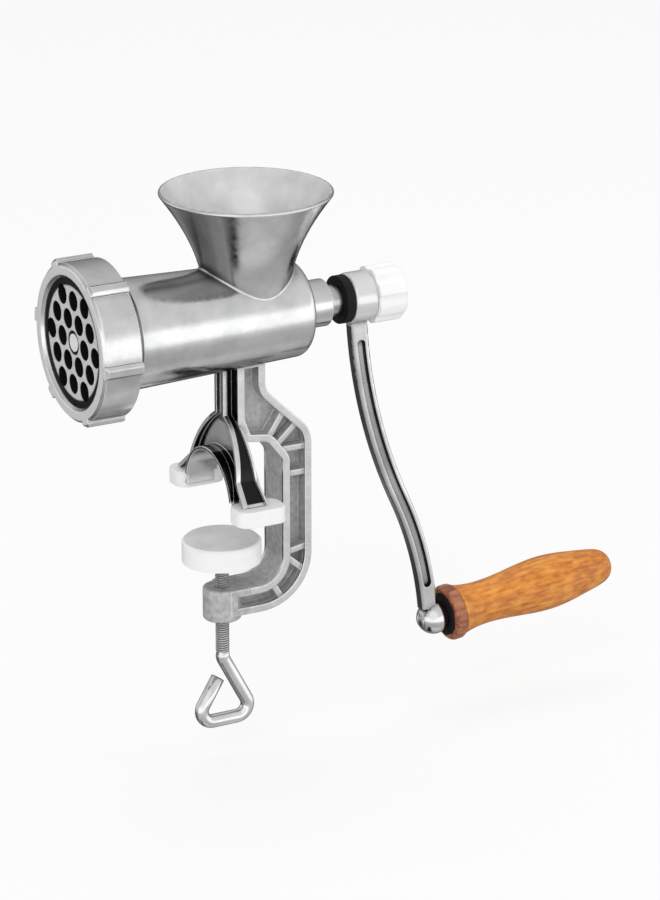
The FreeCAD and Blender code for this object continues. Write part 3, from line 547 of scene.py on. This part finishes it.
def makeScrewHead(look):
    # a domed head cut by a straight slot: rows run along the slot, each as long as the disc is wide there,
    # and the height is the dome's, or the slot's floor between its two walls; a plain shank goes on
    # into the grip
    joint = next(row for row in frame["record"]["behaviour"]["joints"] if row["name"] == "grip_spin")
    axis = np.array(joint["axis"])
    centre = np.array(joint["pos_m"]) / mm
    up = np.array([-axis[2], 0, axis[0]])
    side = np.array([0, 1, 0])
    half = look["slotWidth"] / 2
    outer = np.linspace(half, look["radius"] * look["rimShare"], look["rows"])
    across = np.concatenate([-outer[::-1], [-half, half], outer])
    inSlot = np.zeros(len(across), bool)
    inSlot[look["rows"]:look["rows"] + 2] = True
    share = np.sin(np.linspace(-math.pi / 2, math.pi / 2, look["columns"]))
    run = np.sqrt(look["radius"] ** 2 - across ** 2)[:, None] * share
    dome = look["height"] * (1 - (run ** 2 + across[:, None] ** 2) / look["radius"] ** 2)
    height = np.where(inSlot[:, None], np.minimum(dome, look["slotFloor"]), dome)
    out = -(look["seat"] + height)[..., None] * axis
    points = centre + out + run[..., None] * up + across[:, None, None] * side
    rows, columns = run.shape
    index = np.arange(rows * columns).reshape(rows, columns)
    quads = np.stack([index[:-1, :-1], index[:-1, 1:], index[1:, 1:], index[1:, :-1]], axis=-1)
    rim = np.concatenate([index[0, :-1], index[:-1, -1], index[-1, :0:-1], index[:0:-1, 0]])
    angle = np.linspace(0, 2 * math.pi, look["shankSides"], endpoint=False)
    ends = np.array([-look["seat"], look["reach"]])[:, None, None] * axis
    around = np.cos(angle)[:, None] * up + np.sin(angle)[:, None] * side
    shank = centre + ends + look["shank"] * around
    faces = quads.reshape(-1, 4).tolist() + [rim[::-1].tolist()]
    faces += [[corner + rows * columns for corner in face] for face in ringFaces(2, len(angle))]
    points = np.vstack([points.reshape(-1, 3), shank.reshape(-1, 3)]) * mm
    addPiece("slottedScrew", points, faces, "steel", "grip", "grip_screw")
    print("slotted screw:", len(points), "points")


makeRod(rod)
makeScrewHead(screwHead)


# stage: floor, world, lamps and camera

studio = dict(floorDrop=13 * mm, floorSize=14.0, floorColour=(0.86, 0.86, 0.86), floorRough=0.9,
              whiteShare=0.8, fill=0.6, secondMirror=0.3, secondDepth=1.5, turn=(-0.30, 0.45),
              front=((0.0, 0.62), (0.06, 0.60), (0.11, 0.44), (0.25, 0.50), (0.335, 0.70), (0.38, 1.25),
                     (0.57, 1.35), (0.66, 0.76), (1.0, 0.68)),
              back=((0.0, 0.26), (0.45, 0.22), (0.64, 0.32), (0.85, 0.52), (1.0, 0.62)),
              cards=(dict(towards=(-0.60, 0.65, -0.47), edge=(0.78, 0.92), shade=0.05),
                     dict(towards=(0.451, 0.827, -0.336), edge=(0.93, 0.98), shade=0.03),
                     dict(towards=(-0.41, -0.757, 0.50), edge=(0.78, 0.94), shade=1.0),
                     dict(towards=(-0.683, 0.70, 0.194), edge=(0.84, 0.96), shade=0.75),
                     dict(towards=(-0.307, 0.026, -0.951), edge=(0.88, 0.94), shade=0.02,
                          across=(0.711, -0.658, -0.248), strip=(0.11, 0.20))))


def makeFloor(look):
    # a wide sheet a little under the part, which the camera sees nearly white
    low = cadBox[0].z - look["floorDrop"]
    half = look["floorSize"] / 2
    corner = np.array([[-1, -1], [1, -1], [1, 1], [-1, 1]]) * half
    points = np.column_stack([corner, np.full(4, low)])
    mesh = bpy.data.meshes.new("floor")
    mesh.from_pydata(points.tolist(), [], [(0, 1, 2, 3)])
    floor = bpy.data.objects.new("floor", mesh)
    floor.visible_glossy = False                     # metal mirrors the studio walls instead
    bpy.context.scene.collection.objects.link(floor)
    material, tree, shader, coords = newMaterial("paleFloor")
    shader.inputs["Base Color"].default_value = (*look["floorColour"], 1)
    shader.inputs["Roughness"].default_value = look["floorRough"]
    white = tree.nodes.new("ShaderNodeEmission")
    path = tree.nodes.new("ShaderNodeLightPath")
    seen = math2(tree, "MULTIPLY", path.outputs["Is Camera Ray"], look["whiteShare"])
    mix = tree.nodes.new("ShaderNodeMixShader")
    tree.links.new(seen, mix.inputs[0])
    tree.links.new(shader.outputs[0], mix.inputs[1])
    tree.links.new(white.outputs[0], mix.inputs[2])
    tree.links.new(mix.outputs[0], tree.nodes["Material Output"].inputs["Surface"])
    mesh.materials.append(material)


def studioWalls(tree, coords, look):
    # what metal mirrors: a bright wall in front and a dim one behind, each shaded by height,
    # and cards that darken or lift one direction, or a narrow strip of it
    def turnedTo(direction):
        dot = addNode(tree, "ShaderNodeVectorMath", operation="DOT_PRODUCT")
        tree.links.new(coords, dot.inputs[0])
        dot.inputs[1].default_value = direction
        return dot.outputs["Value"]

    height = remap(tree, turnedTo((0, 0, 1)), 0.0, 1.0, -1.0, 1.0)
    front, back = [ramp(tree, height, [(place, (shade,) * 3) for place, shade in look[side]])
                   for side in ("front", "back")]
    walls = mixColour(tree, remap(tree, turnedTo((0, 1, 0)), 0.0, 1.0, *look["turn"]), front, back)
    for card in look["cards"]:
        share = remap(tree, turnedTo(card["towards"]), 0.0, 1.0, *card["edge"])
        if "across" in card:
            aside = math2(tree, "ABSOLUTE", turnedTo(card["across"]))
            share = allOf(tree, share, remap(tree, aside, 1.0, 0.0, *card["strip"]))
        walls = mixColour(tree, share, walls, (card["shade"],) * 3)
    return walls


def makeWorld(look):
    # white to the camera, studio walls in reflections, dimmer where metal mirrors metal,
    # and an even fill for everything else
    world = bpy.data.worlds.new("studio")
    bpy.context.scene.world = world
    world.use_nodes = True
    tree = world.node_tree
    tree.nodes.clear()
    output = tree.nodes.new("ShaderNodeOutputWorld")
    path = tree.nodes.new("ShaderNodeLightPath")
    coords = tree.nodes.new("ShaderNodeTexCoord").outputs["Generated"]
    white = addNode(tree, "ShaderNodeBackground", Color=(1, 1, 1, 1))
    walls = tree.nodes.new("ShaderNodeBackground")
    tree.links.new(studioWalls(tree, coords, look), walls.inputs["Color"])
    fill = addNode(tree, "ShaderNodeBackground", Color=(1, 1, 1, 1), Strength=look["fill"])
    again = math2(tree, "GREATER_THAN", path.outputs["Glossy Depth"], look["secondDepth"])
    tree.links.new(remap(tree, again, 1.0, look["secondMirror"], 0.0, 1.0), walls.inputs["Strength"])
    shiny = tree.nodes.new("ShaderNodeMixShader")
    tree.links.new(path.outputs["Is Glossy Ray"], shiny.inputs[0])
    tree.links.new(fill.outputs[0], shiny.inputs[1])
    tree.links.new(walls.outputs[0], shiny.inputs[2])
    seen = math2(tree, "MAXIMUM", path.outputs["Is Camera Ray"], path.outputs["Is Transmission Ray"])
    mix = tree.nodes.new("ShaderNodeMixShader")
    tree.links.new(seen, mix.inputs[0])
    tree.links.new(shiny.outputs[0], mix.inputs[1])
    tree.links.new(white.outputs[0], mix.inputs[2])
    tree.links.new(mix.outputs[0], output.inputs["Surface"])


lampAim = (50 * mm, 0, 20 * mm)
lampSettings = {
    "keyLamp": dict(place=(-1.5, -1.6, 1.7), size=(1.6, 1.6), power=26),
    "sideLamp": dict(place=(2.0, -1.0, 0.9), size=(0.6, 1.8), power=10),
    "topLamp": dict(place=(0.1, 0.5, 2.2), size=(1.6, 1.2), power=14),
}


def makeLamps(lamps):
    aim = Vector(lampAim)
    for name, look in lamps.items():
        data = bpy.data.lights.new(name, "AREA")
        data.shape = "RECTANGLE"
        data.size, data.size_y = look["size"]
        data.energy = look["power"]
        lamp = bpy.data.objects.new(name, data)
        lamp.location = look["place"]
        lamp.visible_glossy = False                  # metal mirrors the studio walls instead
        lamp.rotation_euler = (aim - lamp.location).to_track_quat("-Z", "Y").to_euler()
        bpy.context.scene.collection.objects.link(lamp)


view = dict(azimuth=-28.6, elevation=19.6, distance=1650.7 * mm, target=(50.6 * mm, 0, 13.5 * mm),
            lens=160, sensor=36)


def makeCamera(look):
    # turned by the azimuth and raised by the elevation around the target
    turn, rise = math.radians(look["azimuth"]), math.radians(look["elevation"])
    back = Vector((math.sin(turn) * math.cos(rise), -math.cos(turn) * math.cos(rise), math.sin(rise)))
    data = bpy.data.cameras.new("camera")
    data.lens = look["lens"]
    data.sensor_width = look["sensor"]
    camera = bpy.data.objects.new("camera", data)
    camera.location = Vector(look["target"]) + back * look["distance"]
    camera.rotation_euler = back.to_track_quat("Z", "Y").to_euler()
    bpy.context.scene.collection.objects.link(camera)
    bpy.context.scene.camera = camera


makeFloor(studio)
makeWorld(studio)
makeLamps(lampSettings)
makeCamera(view)
bpy.context.scene.view_settings.view_transform = "Standard"
print("stage ready")
